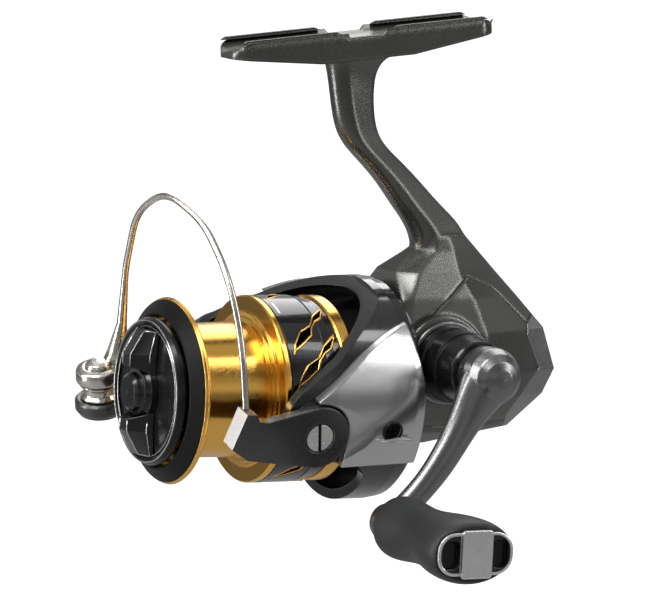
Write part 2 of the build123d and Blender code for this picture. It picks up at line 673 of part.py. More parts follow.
# ---- spool -------------------------------------------------------------------------------
with BuildPart() as spool:
    lathe(
        # front lip
        (LIP_Y, 17.2), (LIP_Y, 21.5), (LIP_Y + 0.25, LIP_R), (LIP_Y + 0.9, LIP_R),
        (LIP_Y + 1.1, 21.5), (LIP_Y + 2.9, 17.6), (LIP_Y + 3.1, TRUNK_R),
        # line trunk, a touch wider towards the rear, and the stepped rear flange
        (-47.0, TRUNK_R + 0.3), (-46.8, 17.2), (-46.4, 17.2), (-46.2, 18.2), (FLANGE_Y, 18.4),
        (FLANGE_Y, SKIRT_R - 0.3), (FLANGE_Y + 0.3, SKIRT_R), (FLANGE_Y + 1.4, SKIRT_R),
        (FLANGE_Y + 1.5, SKIRT_R - 0.3), (FLANGE_Y + 1.7, SKIRT_R - 0.3),
        (FLANGE_Y + 1.7, 14.2),
        # hollow rear, hub, hollow front for the drag washers
        (-51.4, 14.2), (-51.4, 6.4), (-45.2, 6.4), (-45.2, 4.5 + SNUG), (-48.0, 4.5 + SNUG),
        (-48.0, 2.7), (-52.8, 2.7), (-52.8, 4.5 + SNUG), (-55.4, 4.5 + SNUG), (-55.4, 6.4),
        (-53.4, 6.4), (-53.4, 13.2), (-65.0, 13.2), (-65.0, 17.2),
    )
spool.part.label = "spool"
export_step(spool.part, "parts/spool.step")

with BuildPart() as lip_ring:
    lathe((LIP_Y - SNUG, 17.4), (LIP_Y - SNUG, 21.3), (LIP_Y - 0.4, 21.3), (LIP_Y - 2.6, 18.4),
          (LIP_Y - 2.7, 17.9), (LIP_Y - 2.3, 17.6))
lip_ring.part.label = "lip_ring"
export_step(lip_ring.part, "parts/lip_ring.step")

# slanted arrow-shaped windows through the skirt, in pairs round it: station, height
WINDOW = (
    (-43.0, -7.2), (-41.9, -3.6), (-39.7, -0.3), (-36.5, 1.5), (-34.7, 4.3), (-31.1, 7.3),
    (-31.0, 6.1), (-32.5, 3.4), (-34.4, 2.3), (-35.9, 0.4), (-36.6, -1.7), (-39.3, -3.9),
    (-42.0, -5.7),
)
SKIRT_FRONT = FLANGE_Y + 1.75
RING_FRONT = -30.0
WINDOW_PAIRS = 5
with BuildPart() as spool_skirt:
    lathe((SKIRT_FRONT, SKIRT_BORE), (SKIRT_FRONT, SKIRT_R), (-35.0, SKIRT_R), (-34.9, 21.8),
          (-34.5, 21.8), (-34.4, 22.0), (-32.0, 21.7), (-31.9, 21.3), (RING_FRONT - SNUG, 21.3),
          (RING_FRONT - SNUG, SKIRT_BORE))
    for pair in range(WINDOW_PAIRS):
        for turned in (24.0, 47.0):
            slab(16, 26, *WINDOW, at=DRIVE * Rot(0, 360 / WINDOW_PAIRS * pair - turned, 0),
                 mode=Mode.SUBTRACT)
spool_skirt.part.label = "spool_skirt"
export_step(spool_skirt.part, "parts/spool_skirt.step")

with BuildPart() as skirt_ring:
    lathe((RING_FRONT, SKIRT_BORE), (RING_FRONT, 21.5), (RING_FRONT + 0.4, 21.9),
          (SKIRT_END - 0.3, SKIRT_R - 0.1), (SKIRT_END, 21.7), (SKIRT_END, SKIRT_BORE))
skirt_ring.part.label = "skirt_ring"
export_step(skirt_ring.part, "parts/skirt_ring.step")

with BuildPart() as line_clip:
    clip_place = DRIVE * Rot(0, 118, 0)
    with BuildSketch(side(SKIRT_R + SNUG, clip_place)):
        with Locations((-40.0, 0)):
            SlotOverall(5.4, 3.0)
    extrude(amount=0.7)
line_clip.part.label = "line_clip"
export_step(line_clip.part, "parts/line_clip.step")

with BuildPart() as spool_bearings:
    bearing(-47.9, -45.3, 4.5, SHAFT_R + SLIP, DRIVE)
    bearing(-55.3, -52.9, 4.5, SHAFT_R + SLIP, DRIVE)
spool_bearings.part.label = "spool_bearings"
export_step(spool_bearings.part, "parts/spool_bearings.step")

WASHER = 0.9
WASHER_PITCH = 1.0
with BuildPart() as drag_washers:
    for place in range(5):
        back = -53.5 - place * WASHER_PITCH
        tube(back - WASHER, back, 12.8 - 0.3 * (place % 2), 6.8)
drag_washers.part.label = "drag_washers"
export_step(drag_washers.part, "parts/drag_washers.step")

with BuildPart() as drag_clip:
    lathe((-59.6, 12.1), (-59.6, 13.1), (-58.8, 13.1), (-58.8, 12.1))
drag_clip.part.label = "drag_clip"
export_step(drag_clip.part, "parts/drag_clip.step")

with BuildPart() as spool_support:
    tube(-45.0, -43.6, 5.6, SHAFT_R + SNUG)
    tube(-43.6, -42.0, 3.6, SHAFT_R + SNUG)
spool_support.part.label = "spool_support"
export_step(spool_support.part, "parts/spool_support.step")

# ---- drag knob ---------------------------------------------------------------------------
KNOB_RIM_Y = -70.3
with BuildPart() as drag_knob:
    lathe((-60.2, 4.2), (-60.2, 11.6), (-66.2, 11.6), (-68.0, 13.4), (-69.0, 16.4),
          (KNOB_RIM_Y, 16.5), (-70.6, 15.0), (-71.0, 6.0), (-71.0, SHAFT_R + 0.4),
          (-64.0, SHAFT_R + 0.4), (-64.0, 4.2))
drag_knob.part.label = "drag_knob"
export_step(drag_knob.part, "parts/drag_knob.step")

with BuildPart() as drag_rim:
    lathe((-69.0, 16.5 + SNUG), (-69.0, 17.1), (-69.5, 17.35), (-70.3, 17.35), (-71.2, 16.9),
          (-71.4, 16.2), (-71.0, 15.6), (-70.75, 15.6), (-70.35, 16.5 + SNUG))
drag_rim.part.label = "drag_rim"
export_step(drag_rim.part, "parts/drag_rim.step")

# grip bar across the knob
with BuildPart() as drag_bar:
    with BuildSketch(level(-14.6)):
        outline((-5.0, -71.05), (-4.4, -71.6), (-2.0, -73.4), (2.0, -73.4), (4.4, -71.6),
                (5.0, -71.05))
    with BuildSketch(level(-9.0)):
        outline((-4.6, -71.05), (-4.2, -72.6), (-1.9, -76.6), (1.9, -76.6), (4.2, -72.6),
                (4.6, -71.05))
    with BuildSketch(level(9.0)):
        outline((-4.6, -71.05), (-4.2, -72.6), (-1.9, -76.6), (1.9, -76.6), (4.2, -72.6),
                (4.6, -71.05))
    with BuildSketch(level(14.6)):
        outline((-5.0, -71.05), (-4.4, -71.6), (-2.0, -73.4), (2.0, -73.4), (4.4, -71.6),
                (5.0, -71.05))
    loft(ruled=True)
    tube(-80, -70, 6.3, mode=Mode.SUBTRACT)
drag_bar.part.label = "drag_bar"
export_step(drag_bar.part, "parts/drag_bar.step")

with BuildPart() as drag_button:
    lathe((-71.05, 2.6), (-71.05, 6.2), (-72.6, 6.2), (-72.8, 5.9), (-73.4, 5.6), (-74.0, 5.5),
          (-74.2, 4.6), (-75.4, 4.4), (-76.0, 3.6), (-76.2, 0), (-75.4, 0), (-75.4, 2.6))
drag_button.part.label = "drag_button"
export_step(drag_button.part, "parts/drag_button.step")

with BuildPart() as drag_nut:
    with BuildSketch(front(-60.4)):
        RegularPolygon(4.0, 6)
        Circle(SHAFT_R + SLIP, mode=Mode.SUBTRACT)
    extrude(amount=3.2)
drag_nut.part.label = "drag_nut"
export_step(drag_nut.part, "parts/drag_nut.step")

# ---- bail ----------------------------------------------------------------------------------
ARM_IN = PAD_X + CLEAR
with BuildPart() as bail_holder:
    # flat lever from the pivot disc to the upright that holds the wire
    with BuildSketch(side(ARM_IN, BAIL)):
        with BuildLine():
            CenterArc((0, 0), PIVOT_DISC, -97, 200)
            Line(PolarLine((0, 0), PIVOT_DISC, 103, mode=Mode.PRIVATE) @ 1, (-14.0, 4.2))
            Line((-14.0, 4.2), (-16.6, 4.6))
            Line((-16.6, 4.6), (-17.3, 6.2))
            Line((-17.3, 6.2), (-20.0, 6.3))
            Line((-20.0, 6.3), (-22.4, -2.4))
            Line((-22.4, -2.4), (-18.0, -5.2))
            Line((-18.0, -5.2), PolarLine((0, 0), PIVOT_DISC, -97, mode=Mode.PRIVATE) @ 1)
        make_face()
    extrude(amount=ARM_X - ARM_IN)
    # the upright reaches inwards over the line gap
    slab(24.2, 28.4, (-17.4, 6.1), (-19.9, 6.2), (-22.2, -2.4), (-17.6, -4.8), (-16.0, 3.0),
         at=BAIL)
    cross_tube(20, 32, 1.25, at=BAIL, mode=Mode.SUBTRACT)
    cross_tube(28.4, 32, 3.7, at=BAIL, mode=Mode.SUBTRACT)
    with BuildSketch(level(2.0, BAIL)):
        with Locations((25.9, -18.7)):
            Circle(WIRE_R + SNUG)
    extrude(amount=8, mode=Mode.SUBTRACT)
bail_holder.part.label = "bail_holder"
export_step(bail_holder.part, "parts/bail_holder.step")

# wire: from the near holder over the spool to the roller's head
WIRE_ROUTE = (
    (25.9, -18.7, 6.2), (22.4, -20.6, 21.0), (12.6, -21.6, 33.6),
    (-2.0, -22.8, 41.6), (-16.0, -26.6, 44.0), (-24.6, -28.6, 35.2), (-27.4, -27.6, 20.0),
    (-26.8, -26.5, 6.0), (-26.8, -26.1, -7.0),
)
WIRE_BENDS = (40, 40, 30, 16, 16, 30, 8)
with BuildPart() as bail_wire:
    with BuildLine(Plane(BAIL)) as wire_path:
        FilletPolyline(*WIRE_ROUTE, radius=WIRE_BENDS)
    with BuildSketch(Plane(wire_path.line @ 0, z_dir=wire_path.line % 0)):
        Circle(WIRE_R)
    sweep()
    upright(2.2, 6.3, WIRE_R, at=BAIL * Pos(25.9, -18.7, 0))
    # head that covers the roller, with the wire blended into it
    lathe((0.0, 1.3), (-0.1, 4.9), (0.5, 5.5), (3.2, 5.5), (3.6, 5.1), (3.6, 1.3), at=STACK)
    upright(-4, 0.5, 1.3, at=ROLLER, mode=Mode.SUBTRACT)
bail_wire.part.label = "bail_wire"
export_step(bail_wire.part, "parts/bail_wire.step")

# far lever: pivot disc, curved lever and the cup under the roller
with BuildPart() as roller_lever:
    with BuildSketch(side(-ARM_X, BAIL)):
        outline((-2.0, 7.2), (-12.0, 2.0), (-23.0, -7.6), (-26.1, -12.5), (-25.6, -17.5),
                (-20.0, -16.2), (-10.0, -9.8), (-1.0, -7.4))
    extrude(amount=ARM_X - ARM_IN)
    lathe((7.8, 0), (7.8, 5.5), (8.4, 6.1), (10.4, 6.1), (11.8, 5.2), (12.8, 3.0), (13.0, 0),
          at=STACK)
    cross_tube(-ARM_X, -ARM_IN, PIVOT_DISC, at=BAIL)
    cross_tube(-31, -20, 1.25, at=BAIL, mode=Mode.SUBTRACT)
    cross_tube(-31, -28.4, 3.7, at=BAIL, mode=Mode.SUBTRACT)
    upright(-14, 1, 1.2 + SNUG, at=ROLLER, mode=Mode.SUBTRACT)
    upright(-7.75, 4, 6.5, at=ROLLER, mode=Mode.SUBTRACT)
roller_lever.part.label = "roller_lever"
export_step(roller_lever.part, "parts/roller_lever.step")

with BuildPart() as line_roller:
    lathe((4.0, 2.6), (4.0, 4.7), (4.4, 4.7), (5.2, 3.9), (6.4, 3.9), (7.2, 4.7), (7.5, 4.7),
          (7.5, 2.6), at=STACK)
line_roller.part.label = "line_roller"
export_step(line_roller.part, "parts/line_roller.step")

with BuildPart() as roller_bearing:
    upright(-7.7, -3.7, 2.6 - SLIP, 1.2 + SNUG, at=ROLLER)
roller_bearing.part.label = "roller_bearing"
export_step(roller_bearing.part, "parts/roller_bearing.step")

with BuildPart() as roller_nut:
    upright(-12.4, 0.0, 1.2, at=ROLLER)
    lathe((-0.15, 0), (-0.15, 3.2), (-0.6, 3.2), (-1.2, 2.7), (-1.6, 1.8), (-1.85, 0), at=STACK)
roller_nut.part.label = "roller_nut"
export_step(roller_nut.part, "parts/roller_nut.step")

with BuildPart() as pivot_screws:
    for sign in (1, -1):
        cross_tube(*sorted((sign * 23.6, sign * 28.4)), 1.2, at=BAIL)
        cross_tube(*sorted((sign * (28.4 + SNUG), sign * 29.5)), 3.3, at=BAIL)
        cross_tube(*sorted((sign * 28.3, sign * 28.5)), 1.2, at=BAIL)
        with BuildSketch(side(sign * 29.5, BAIL * Rot(10, 0, 0))):
            Rectangle(0.9, 7.0)
        extrude(amount=-sign * 0.6, mode=Mode.SUBTRACT)
pivot_screws.part.label = "pivot_screws"
export_step(pivot_screws.part, "parts/pivot_screws.step")

# coil spring that snaps the bail over, in the far arm's groove
with BuildPart() as bail_spring:
    tube(-31.0, -21.0, 0.62, at=SPRING)
    for coil in range(13):
        start = -31.0 + coil * 0.75
        tube(start, start + 0.45, 0.9, at=SPRING)
bail_spring.part.label = "bail_spring"
export_step(bail_spring.part, "parts/bail_spring.step")

# ---- crank ---------------------------------------------------------------------------------
with BuildPart() as crank_shank:
    cross_tube(-10.6, 31.6, 1.45, at=HANDLE)
crank_shank.part.label = "crank_shank"
export_step(crank_shank.part, "parts/crank_shank.step")

HUB_FACE = 31.65
with BuildPart() as crank_collar:
    lathe((12.7, 1.5 + SNUG), (12.7, 4.0), (16.4, 4.0), (16.6, 8.9), (17.0, 9.1), (19.0, 9.0),
          (19.2, 8.4), (19.7, 8.4), (19.9, 8.7), (24.4, 8.5), (24.6, 7.9), (25.1, 7.9),
          (25.3, 8.1), (31.0, 7.5), (31.6, 7.1), (31.6, 1.5 + SNUG), at=HANDLE * CROSSWISE)
crank_collar.part.label = "crank_collar"
export_step(crank_collar.part, "parts/crank_collar.step")

# arm sections: distance from the hub, centre across and along the arm's side, half-sizes
ARM_SECTIONS = (
    (2.0, HUB_X, 0.0, 5.2, 6.2),
    (6.0, 36.9, 0.2, 4.6, 5.6),
    (11.0, 37.4, 0.7, 3.6, 4.5),
    (17.0, 38.1, 1.3, 3.0, 3.8),
    (25.0, 38.8, 1.7, 2.7, 3.4),
    (33.0, 39.1, 1.2, 2.6, 3.1),
    (41.0, 39.2, 0.1, 2.5, 3.0),
)
with BuildPart() as crank_arm:
    for reach, across, along, half_across, half_along in ARM_SECTIONS:
        with BuildSketch(level(-reach, CRANK)):
            with Locations((across, along)):
                Ellipse(half_across, half_along)
    loft()
    cross_tube(HUB_FACE, HUB_X, 6.2, at=CRANK)
    # rounded hub, and the eye that carries the knob
    lathe((HUB_FACE, 0), (HUB_FACE, 6.0), (33.0, 6.6), (35.4, 6.9), (38.4, 6.8), (40.8, 5.8),
          (42.4, 4.2), (43.2, 2.2), (43.4, 0), at=CRANK * CROSSWISE)
    cross_tube(36.9, 41.6, 4.3, at=KNOB)
    cross_tube(36, 43, 1.6 + SNUG, at=KNOB, mode=Mode.SUBTRACT)
crank_arm.part.label = "crank_arm"
export_step(crank_arm.part, "parts/crank_arm.step")

with BuildPart() as knob_spindle:
    cross_tube(36.2, 75.0, 1.6, at=KNOB)
    cross_tube(35.6, 36.6, 3.2, at=KNOB)
    cross_tube(73.9, 75.4, 2.6, at=KNOB)
knob_spindle.part.label = "knob_spindle"
export_step(knob_spindle.part, "parts/knob_spindle.step")

with BuildPart() as knob_bearings:
    bearing(43.0, 45.4, 3.5, 1.6 + SLIP, KNOB * CROSSWISE)
    bearing(71.4, 73.8, 3.5, 1.6 + SLIP, KNOB * CROSSWISE)
knob_bearings.part.label = "knob_bearings"
export_step(knob_bearings.part, "parts/knob_bearings.step")

# grip sections: station, half-width fore and aft, half-height
GRIP_SECTIONS = (
    (KNOB_IN, 5.4, 5.8),
    (43.6, 6.9, 7.0),
    (48.5, 7.2, 7.3),
    (56.0, 6.6, 6.7),
    (63.0, 7.6, 6.9),
    (70.0, 9.9, 7.5),
    (75.5, 10.8, 7.6),
    (78.6, 10.4, 7.0),
    (KNOB_OUT, 9.8, 6.4),
)
CAP_LONG = 19.2
CAP_TALL = 9.8
with BuildPart() as knob_grip:
    for station, half_width, half_height in GRIP_SECTIONS:
        with BuildSketch(side(station, KNOB)):
            Ellipse(half_width, half_height)
    loft()
    cross_tube(42, 76.2, 3.5 + SNUG, at=KNOB, mode=Mode.SUBTRACT)
    cross_tube(42, 43.0 - SNUG, 4.6, at=KNOB, mode=Mode.SUBTRACT)
    with BuildSketch(side(77.4, KNOB)):
        RectangleRounded(CAP_LONG + 0.1, CAP_TALL + 0.1, 4.4)
    extrude(amount=4, mode=Mode.SUBTRACT)
knob_grip.part.label = "knob_grip"
export_step(knob_grip.part, "parts/knob_grip.step")

with BuildPart() as knob_cap:
    with BuildSketch(side(77.45, KNOB)):
        RectangleRounded(CAP_LONG, CAP_TALL, 4.35)
    extrude(amount=2.6)
    for sign in (1, -1):
        with BuildSketch(side(78.4, KNOB)):
            with Locations((sign * 6.3, 0)):
                RectangleRounded(4.4, 6.6, 1.4)
        extrude(amount=4, mode=Mode.SUBTRACT)
    with BuildSketch(side(79.9, KNOB)):
        RectangleRounded(7.8, 11.0, 0.8)
    extrude(amount=1.0)
knob_cap.part.label = "knob_cap"
export_step(knob_cap.part, "parts/knob_cap.step")
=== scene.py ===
import json
import math

import bpy
from mathutils import Matrix, Vector


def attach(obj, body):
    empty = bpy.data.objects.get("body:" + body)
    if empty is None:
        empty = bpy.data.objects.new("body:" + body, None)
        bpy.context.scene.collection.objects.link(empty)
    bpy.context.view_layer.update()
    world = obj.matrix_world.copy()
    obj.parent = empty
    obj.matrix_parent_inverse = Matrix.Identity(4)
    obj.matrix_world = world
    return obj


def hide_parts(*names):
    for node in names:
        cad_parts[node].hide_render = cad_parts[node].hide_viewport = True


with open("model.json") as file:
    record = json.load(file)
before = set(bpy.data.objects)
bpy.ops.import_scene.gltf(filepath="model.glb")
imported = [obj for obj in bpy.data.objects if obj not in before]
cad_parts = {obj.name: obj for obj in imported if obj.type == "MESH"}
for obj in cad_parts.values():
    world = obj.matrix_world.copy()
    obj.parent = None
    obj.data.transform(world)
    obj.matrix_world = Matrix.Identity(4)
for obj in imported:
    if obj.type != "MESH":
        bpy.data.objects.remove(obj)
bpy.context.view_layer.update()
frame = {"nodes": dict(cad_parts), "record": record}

MM = 0.001
nodes = frame["nodes"]
scene = bpy.context.scene

# ---- drive frame: its axis is the spool's, tipped against the foot ----
TILT = math.radians(-5.8)
DRIVE = Matrix.Translation(Vector((0, 11.8, -84.4))) @ Matrix.Rotation(TILT, 4, "X")
ROTOR = DRIVE @ Matrix.Rotation(math.radians(14.3), 4, "Y")
BAIL = ROTOR @ Matrix.Translation(Vector((0, -39.8, 0)))
HANDLE = DRIVE @ Matrix.Translation(Vector((0, 0, 7.6)))
CRANK = HANDLE @ Matrix.Rotation(math.radians(-37.7), 4, "X")
KNOB = (CRANK @ Matrix.Translation(Vector((0, 0, -42.3)))
        @ Matrix.Rotation(math.radians(37.7), 4, "X"))
ROLLER = (BAIL @ Matrix.Translation(Vector((-26.8, -30.8, -5.1)))
          @ Matrix.Rotation(math.radians(13), 4, "X"))

# ---- camera ----
def drive_dir(x, y, z):
    return (DRIVE.to_3x3() @ Vector((x, y, z))).normalized()

camera_data = bpy.data.cameras.new("camera")
camera = bpy.data.objects.new("camera", camera_data)
scene.collection.objects.link(camera)
scene.camera = camera
# solved from the spool's circles, the foot and the crank, in the drive frame
CAMERA_PLACE = Vector((1240.548, -685.627, 205.494))
right = drive_dir(0.46438, 0.88409, 0.05237)
back = drive_dir(0.87443, -0.46708, 0.13122)
up = back.cross(right).normalized()
place = (DRIVE @ CAMERA_PLACE) * MM
camera.matrix_world = Matrix.Translation(place) @ Matrix((right, up, back)).transposed().to_4x4()
camera_data.sensor_width = 36
camera_data.lens = 324.24
camera_data.clip_start = 0.05
camera_data.clip_end = 20
camera_data.dof.use_dof = False

# ---- materials ----
class Paint:
    """A procedural material built up node by node."""

    def __init__(self, name):
        self.material = bpy.data.materials.new(name)
        self.material.use_nodes = True
        self.tree = self.material.node_tree
        self.shader = self.tree.nodes["Principled BSDF"]
        self.coords = self.tree.nodes.new("ShaderNodeTexCoord").outputs["Object"]

    def node(self, kind, **values):
        made = self.tree.nodes.new("ShaderNode" + kind)
        for key, value in values.items():
            setattr(made, key, value)
        return made

    def link(self, out, into):
        self.tree.links.new(out, into)

    def in_frame(self, matrix):
        """Coordinates in another frame, in metres."""
        mapping = self.node("Mapping", vector_type="TEXTURE")
        mapping.inputs["Location"].default_value = matrix.to_translation() * MM
        mapping.inputs["Rotation"].default_value = matrix.to_euler()
        self.link(self.coords, mapping.inputs["Vector"])
        return mapping.outputs["Vector"]

    def noise(self, scale, detail=3.0, stretch=None, vector=None):
        vector = vector or self.coords
        if stretch:
            mapping = self.node("Mapping")
            mapping.inputs["Scale"].default_value = stretch
            self.link(vector, mapping.inputs["Vector"])
            vector = mapping.outputs["Vector"]
        noise = self.node("TexNoise")
        noise.inputs["Scale"].default_value = scale
        noise.inputs["Detail"].default_value = detail
        self.link(vector, noise.inputs["Vector"])
        return noise.outputs["Fac"]

    def ramp(self, value, *stops):
        """Two (position, shade) stops, a shade being a grey or a colour."""
        ramp = self.node("ValToRGB")
        for element, (position, shade) in zip(ramp.color_ramp.elements, stops):
            element.position = position
            element.color = (*shade, 1) if isinstance(shade, tuple) else (shade,) * 3 + (1,)
        self.link(value, ramp.inputs["Fac"])
        return ramp.outputs["Color"]

    def math(self, operation, a, b=None):
        made = self.node("Math", operation=operation)
        for socket, value in zip(made.inputs, (a, b)):
            if value is None:
                continue
            if isinstance(value, (int, float)):
                socket.default_value = value
            else:
                self.link(value, socket)
        return made.outputs[0]

    def blend(self, factor, first, second):
        """From a linked colour to a constant one as the factor goes from 0 to 1."""
        made = self.node("MixRGB")
        self.link(factor, made.inputs["Fac"])
        self.link(first, made.inputs["Color1"])
        made.inputs["Color2"].default_value = (*second, 1)
        self.link(made.outputs[0], self.shader.inputs["Base Color"])

    def split(self, vector):
        made = self.node("SeparateXYZ")
        self.link(vector, made.inputs[0])
        return made.outputs

    def bump(self, height, distance, strength=1.0, bevel=0.0):
        bump = self.node("Bump")
        bump.inputs["Strength"].default_value = strength
        bump.inputs["Distance"].default_value = distance
        if height is not None:
            self.link(height, bump.inputs["Height"])
        if bevel:
            edge = self.node("Bevel", samples=8)
            edge.inputs["Radius"].default_value = bevel
            self.link(edge.outputs[0], bump.inputs["Normal"])
        self.link(bump.outputs["Normal"], self.shader.inputs["Normal"])


def paint(name, color, metallic, rough, spread=0.06, grain=900, relief=0.00002, bevel=0.00025,
          coat=0.0, coat_rough=0.06, tone=0.12, streak=None, rings=None, ring_relief=0.0,
          specular=0.5):
    """Metal, paint or plastic with uneven tone and gloss, fine grain and softened edges."""
    p = Paint(name)
    p.shader.inputs["Metallic"].default_value = metallic
    p.shader.inputs["Specular IOR Level"].default_value = specular
    broad = p.noise(60, 2.0)
    fine = p.noise(grain, 4.0, stretch=streak)
    low = tuple(c * (1 - tone) for c in color)
    high = tuple(min(1, c * (1 + tone)) for c in color)
    p.link(p.ramp(broad, (0.3, low), (0.7, high)), p.shader.inputs["Base Color"])
    p.link(p.ramp(fine, (0.25, max(0.02, rough - spread)), (0.75, rough + spread)),
           p.shader.inputs["Roughness"])
    height = fine
    if rings:
        x, y, z = p.split(p.in_frame(rings[0]))
        if rings[1] == "along":
            station = p.math("MULTIPLY", y, 2 * math.pi / rings[2])
        else:
            station = p.math("MULTIPLY", p.math("SQRT", p.math("ADD",
                p.math("MULTIPLY", x, x), p.math("MULTIPLY", z, z))), 2 * math.pi / rings[2])
        height = p.math("MULTIPLY", p.math("SINE", station), ring_relief)
    p.bump(height, relief, 1.0, bevel)
    if coat:
        p.shader.inputs["Coat Weight"].default_value = coat
        p.shader.inputs["Coat Roughness"].default_value = coat_rough
    return p.material


GOLD = (0.88, 0.50, 0.11)
body_grey = paint("titanium_grey", (0.12, 0.12, 0.112), 0.85, 0.27, grain=4200, relief=0.000012,
                  coat=0.3, coat_rough=0.16, bevel=0.0018, tone=0.08)
cover_grey = paint("cover_grey", (0.115, 0.115, 0.108), 0.85, 0.27, grain=4200, relief=0.000012,
                   coat=0.3, coat_rough=0.16, bevel=0.0018, tone=0.08)
looks = {
    "body_metal": body_grey,
    "guard_metal": paint("guard_chrome", (0.30, 0.30, 0.295), 0.9, 0.22, bevel=0.0005),
    "black_gloss": paint("black_gloss", (0.008, 0.008, 0.009), 0.0, 0.2, coat=0.25,
                         coat_rough=0.08, bevel=0.0003, specular=0.3),
    "black_matte": paint("black_matte", (0.004, 0.004, 0.004), 0.0, 0.45, grain=2600,
                         relief=0.00002, specular=0.14),
    "steel": paint("machined_steel", (0.62, 0.61, 0.59), 1.0, 0.25, streak=(1, 1, 9), grain=700),
    "gear_brass": paint("cut_brass", (0.72, 0.5, 0.2), 1.0, 0.3, grain=1200),
    "rotor_gloss": paint("rotor_black", (0.030, 0.030, 0.031), 0.65, 0.2, coat=0.7,
                         coat_rough=0.06, bevel=0.0005),
    "cover_silver": paint("silver_paint", (0.50, 0.50, 0.50), 0.95, 0.2, coat=0.5, grain=3800,
                          coat_rough=0.05, relief=0.000008, bevel=0.0006, tone=0.04),
    "gold": paint("gold_anodised", GOLD, 1.0, 0.17, grain=1600, tone=0.05, bevel=0.0002,
                  rings=(DRIVE, "along", 0.00022), ring_relief=0.25, relief=0.000012),
    "skirt_black": paint("skirt_black", (0.008, 0.008, 0.009), 0.1, 0.16, coat=0.45,
                         coat_rough=0.05, rings=(DRIVE, "along", 0.0006), ring_relief=0.4,
                         relief=0.000014, bevel=0.0002, specular=0.35),
    "drag_gloss": paint("drag_black", (0.006, 0.006, 0.007), 0.0, 0.24, coat=0.15, specular=0.22,
                        rings=(DRIVE, "round", 0.0008), ring_relief=0.4, relief=0.000014),
    "drag_chrome": paint("drag_chrome", (0.55, 0.55, 0.55), 1.0, 0.12, bevel=0.0003, tone=0.05),
    "felt": paint("drag_felt", (0.2, 0.15, 0.1), 0.0, 0.9, grain=2500, relief=0.0002),
    "arm_grey": paint("arm_grey", (0.07, 0.07, 0.068), 0.7, 0.3, grain=4000, relief=0.000012,
                      coat=0.3, coat_rough=0.15, bevel=0.0005, tone=0.08),
    "wire_steel": paint("nickel_steel", (0.60, 0.57, 0.52), 1.0, 0.24, grain=1500, tone=0.06,
                        bevel=0.0002),
    "crank_metal": paint("crank_grey", (0.20, 0.20, 0.198), 0.95, 0.3, grain=3000, tone=0.06,
                         coat=0.2, coat_rough=0.15, bevel=0.0006, relief=0.00001),
    "knob_rubber": paint("knob_rubber", (0.015, 0.016, 0.017), 0.0, 0.5, grain=5200,
                         relief=0.00003, bevel=0.0006, tone=0.15, specular=0.4),
    "cap_silver": paint("cap_silver", (0.74, 0.74, 0.73), 1.0, 0.24, grain=900, relief=0.000006,
                        streak=(1, 1, 12), bevel=0.0004),
}
slots = {s["node"]: s["material_slot"] for s in frame["record"]["subparts"]}
for name, node in nodes.items():
    node.data.materials.clear()
    node.data.materials.append(looks[slots[name]])
nodes["side_cover"].data.materials[0] = cover_grey
nodes["boss_collar"].data.materials[0] = looks["crank_metal"]
nodes["drag_bar"].data.materials[0] = paint("bar_black", (0.010, 0.010, 0.011), 0.1, 0.15, coat=0.5,
                                            coat_rough=0.05, bevel=0.0004)
nodes["pivot_screws"].data.materials[0] = paint("screw_steel", (0.62, 0.62, 0.60), 0.35, 0.25,
                                                grain=900, relief=0.000006)

# ---- detail pieces ----
def piece(name, points, faces, at, body, look, smooth=False):
    """A mesh given in millimetres in one of the frames above."""
    mesh = bpy.data.meshes.new(name)
    mesh.from_pydata([(at @ Vector(p)) * MM for p in points], [], faces)
    mesh.validate()
    mesh.update()
    if smooth:
        mesh.polygons.foreach_set("use_smooth", [True] * len(mesh.polygons))
    made = bpy.data.objects.new(name, mesh)
    scene.collection.objects.link(made)
    mesh.materials.append(look)
    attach(made, body)
    return made


def turned(name, profile, at, body, look):
    """A closed (station, radius) outline turned about the frame's Y axis."""
    points, faces = [], []
    count = len(profile)
    steps = 128
    for step in range(steps):
        angle = 2 * math.pi * step / steps
        for station, radius in profile:
            points.append((radius * math.cos(angle), station, radius * math.sin(angle)))
    for step in range(steps):
        here, there = step * count, (step + 1) % steps * count
        for i in range(count):
            j = (i + 1) % count
            faces.append((here + i, here + j, there + j, there + i))
    return piece(name, points, faces, at, body, look, True)


def swept(name, stations, at, body, look, around):
    """Rings of given centre and radius joined into a closed tube."""
    points, faces = [], []
    last = None
    for k, (centre, radius) in enumerate(stations):
        before = Vector(stations[max(k - 1, 0)][0])
        after = Vector(stations[min(k + 1, len(stations) - 1)][0])
        along = (after - before).normalized()
        if last is None:
            last = along.orthogonal().normalized()
        last = (last - along * last.dot(along)).normalized()
        other = along.cross(last)
        for i in range(around):
            angle = 2 * math.pi * i / around
            spoke = last * math.cos(angle) + other * math.sin(angle)
            points.append(Vector(centre) + spoke * radius)
    for k in range(len(stations) - 1):
        here, there = k * around, (k + 1) * around
        for i in range(around):
            j = (i + 1) % around
            faces.append((here + i, here + j, there + j, there + i))
    faces.append(tuple(reversed(range(around))))
    faces.append(tuple((len(stations) - 1) * around + i for i in range(around)))
    return piece(name, points, faces, at, body, look, True)


def prism(name, outline_points, low, high, at, body, look):
    """A flat (y, z) outline given thickness along the frame's X axis."""
    count = len(outline_points)
    points = [(low, u, v) for u, v in outline_points]
    points += [(high, u, v) for u, v in outline_points]
    faces = [tuple(range(count)), tuple(reversed(range(count, 2 * count)))]
    faces += [(i, (i + 1) % count, count + (i + 1) % count, count + i) for i in range(count)]
    return piece(name, points, faces, at, body, look)


